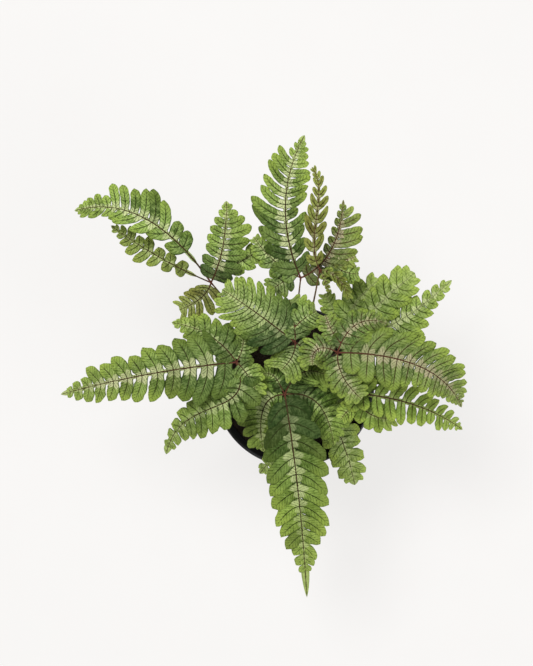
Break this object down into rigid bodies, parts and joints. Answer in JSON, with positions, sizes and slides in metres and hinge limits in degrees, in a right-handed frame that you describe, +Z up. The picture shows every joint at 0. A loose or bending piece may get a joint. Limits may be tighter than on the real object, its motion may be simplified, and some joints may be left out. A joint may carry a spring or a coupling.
{
  "type": "potted striped brake fern",
  "caption": "Bushy potted fern: arching fronds of lobed, silver-striped green pinnae on wiry red-brown stipes, in a round black nursery pot of soil.",
  "frame": {"origin": "centre of the pot's flat underside, where it stands", "axes": "+Z up out of the pot; +Y towards the longest back frond and -Y along the long front frond; +X to the plant's right seen from the front"},
  "size_m": [0.2931, 0.3355, 0.2355],
  "materials": {
    "pot": "satin black moulded plastic",
    "soil": "damp, crumbly peat and bark potting mix",
    "crown": "scaly brown rootstock",
    "stipe": "smooth wiry red-brown stem",
    "leaf": "thin matt leaf, green with a silver band along each midrib",
    "young_leaf": "thin matt young leaf, olive flushed red-brown"
  },
  "bodies": {
    "root": {"pot": "pot", "soil": "soil", "crown": "crown", "frond_front_stipe": "stipe", "frond_front_blade": "leaf", "frond_left_stipe": "stipe", "frond_left_blade": "leaf", "frond_right_stipe": "stipe", "frond_right_blade": "leaf", "frond_middle_stipe": "stipe", "frond_middle_blade": "leaf", "frond_back_left_stipe": "stipe", "frond_back_left_blade": "leaf", "frond_back_stipe": "stipe", "frond_back_blade": "leaf", "frond_young_stipe": "stipe", "frond_young_blade": "young_leaf", "frond_right_back_stipe": "stipe", "frond_right_back_blade": "leaf", "frond_lower_right_stipe": "stipe", "frond_lower_right_blade": "leaf", "frond_low_front_stipe": "stipe", "frond_low_front_blade": "leaf"}
  },
  "joints": []
}
